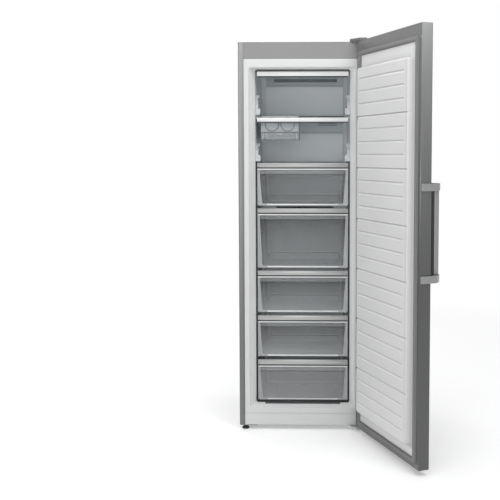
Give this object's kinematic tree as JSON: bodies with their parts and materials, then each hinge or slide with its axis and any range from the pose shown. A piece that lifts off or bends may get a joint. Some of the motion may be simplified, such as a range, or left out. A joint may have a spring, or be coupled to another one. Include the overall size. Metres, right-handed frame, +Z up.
{
  "type": "upright freezer",
  "caption": "Tall free-standing no-frost freezer, door standing open: drawers and two clear flaps with grip strips, twist ice maker, side handle on the door, levelling feet.",
  "frame": {"origin": "centre of the cabinet's footprint, on the floor that the feet stand on", "axes": "+Z up, -Y towards the user, +X to the user's right, the hinge side"},
  "size_m": [0.8745, 1.1815, 1.85],
  "materials": {
    "side_steel": "satin",
    "door_steel": "satin",
    "grey_trim": "satin",
    "dark_trim": "satin",
    "liner_white": "satin",
    "clear_plastic": "gloss",
    "shelf_glass": "polished",
    "silver_trim": "satin",
    "white_trim": "gloss",
    "duct_grey": "satin",
    "ice_plastic": "satin",
    "foam": "matte",
    "zinc_steel": "satin",
    "black_metal": "satin",
    "black_plastic": "matte",
    "aluminium_fin": "satin",
    "foot_rubber": "matte",
    "gasket_grey": "matte",
    "display_black": "gloss",
    "handle_metal": "satin"
  },
  "bodies": {
    "cabinet": {"outer_shell": "side_steel", "top_front_trim": "grey_trim", "back_panel": "zinc_steel", "inner_liner": "liner_white", "plinth_panel": "liner_white", "cabinet_insulation": "foam", "bottom_panel": "zinc_steel", "compressor_tray": "zinc_steel", "compressor": "black_metal", "condenser_coil": "black_metal", "mains_inlet_box": "black_plastic", "duct_cover": "duct_grey", "evaporator": "aluminium_fin", "fan_motor": "black_plastic", "glass_shelf_1": "shelf_glass", "glass_shelf_2": "shelf_glass", "glass_shelf_3": "shelf_glass", "glass_shelf_4": "shelf_glass", "glass_shelf_5": "shelf_glass", "glass_shelf_6": "shelf_glass", "flap_1_pivot_left": "white_trim", "flap_1_pivot_right": "white_trim", "flap_2_pivot_left": "white_trim", "flap_2_pivot_right": "white_trim", "ice_maker_frame": "ice_plastic", "ice_box": "clear_plastic", "bottom_hinge_bracket": "zinc_steel", "top_hinge_bracket": "zinc_steel", "top_hinge_cover": "dark_trim"},
    "door": {"door_outer_skin": "door_steel", "door_top_cap": "dark_trim", "door_bottom_cap": "dark_trim", "door_inner_liner": "liner_white", "door_insulation": "foam", "door_gasket": "gasket_grey", "display_panel": "display_black", "handle_bar": "handle_metal", "handle_arm_top": "handle_metal", "handle_arm_bottom": "handle_metal"},
    "flap_1": {"flap_1_panel": "clear_plastic", "flap_1_grip": "white_trim"},
    "flap_2": {"flap_2_panel": "clear_plastic", "flap_2_grip": "white_trim"},
    "drawer_1": {"drawer_1_tub": "clear_plastic", "drawer_1_grip": "silver_trim"},
    "drawer_2": {"drawer_2_tub": "clear_plastic", "drawer_2_grip": "silver_trim"},
    "drawer_3": {"drawer_3_tub": "clear_plastic", "drawer_3_grip": "silver_trim"},
    "drawer_4": {"drawer_4_tub": "clear_plastic", "drawer_4_grip": "silver_trim"},
    "drawer_5": {"drawer_5_tub": "clear_plastic", "drawer_5_grip": "silver_trim"},
    "ice_tray_left": {"ice_tray_left": "ice_plastic"},
    "ice_tray_right": {"ice_tray_right": "ice_plastic"},
    "evaporator_fan": {"evaporator_fan": "black_plastic"},
    "front_foot_left": {"front_foot_left": "foot_rubber"},
    "front_foot_right": {"front_foot_right": "foot_rubber"},
    "rear_roller_left": {"rear_roller_left": "foot_rubber"},
    "rear_roller_right": {"rear_roller_right": "foot_rubber"}
  },
  "joints": [
    {"name": "door_hinge", "type": "hinge", "parent": "cabinet", "child": "door", "pos_m": [0.285, -0.329, 0.9], "axis": [0, 0, 1], "range_deg": [-113, 12]},
    {"name": "drawer_1_slide", "type": "slide", "parent": "cabinet", "child": "drawer_1", "axis": [0, -1, 0], "range_m": [0, 0.3]},
    {"name": "drawer_2_slide", "type": "slide", "parent": "cabinet", "child": "drawer_2", "axis": [0, -1, 0], "range_m": [0, 0.3]},
    {"name": "drawer_3_slide", "type": "slide", "parent": "cabinet", "child": "drawer_3", "axis": [0, -1, 0], "range_m": [0, 0.3]},
    {"name": "drawer_4_slide", "type": "slide", "parent": "cabinet", "child": "drawer_4", "axis": [0, -1, 0], "range_m": [0, 0.3]},
    {"name": "drawer_5_slide", "type": "slide", "parent": "cabinet", "child": "drawer_5", "axis": [0, -1, 0], "range_m": [0, 0.22]},
    {"name": "flap_1_hinge", "type": "hinge", "parent": "cabinet", "child": "flap_1", "pos_m": [0, -0.215, 1.512], "axis": [1, 0, 0], "range_deg": [0, 88]},
    {"name": "flap_2_hinge", "type": "hinge", "parent": "cabinet", "child": "flap_2", "pos_m": [0, -0.215, 1.291], "axis": [1, 0, 0], "range_deg": [0, 88]},
    {"name": "ice_tray_left_twist", "type": "hinge", "parent": "cabinet", "child": "ice_tray_left", "pos_m": [-0.148, -0.193, 1.46], "axis": [0, 1, 0], "range_deg": [0, 120], "stiffness_Nm_per_rad": 0.05},
    {"name": "ice_tray_right_twist", "type": "hinge", "parent": "cabinet", "child": "ice_tray_right", "pos_m": [-0.073, -0.193, 1.46], "axis": [0, 1, 0], "range_deg": [0, 120], "stiffness_Nm_per_rad": 0.05},
    {"name": "fan_spin", "type": "hinge", "parent": "cabinet", "child": "evaporator_fan", "pos_m": [0, 0.189, 1.36], "axis": [0, 1, 0], "continuous": true},
    {"name": "foot_left_turn", "type": "hinge", "parent": "cabinet", "child": "front_foot_left", "pos_m": [-0.273, -0.271, 0.012], "axis": [0, 0, 1], "range_deg": [-360, 360]},
    {"name": "foot_right_turn", "type": "hinge", "parent": "cabinet", "child": "front_foot_right", "pos_m": [0.273, -0.271, 0.012], "axis": [0, 0, 1], "range_deg": [-360, 360]},
    {"name": "roller_left_spin", "type": "hinge", "parent": "cabinet", "child": "rear_roller_left", "pos_m": [-0.25975, 0.255, 0.016], "axis": [1, 0, 0], "continuous": true},
    {"name": "roller_right_spin", "type": "hinge", "parent": "cabinet", "child": "rear_roller_right", "pos_m": [0.25975, 0.255, 0.016], "axis": [1, 0, 0], "continuous": true}
  ]
}
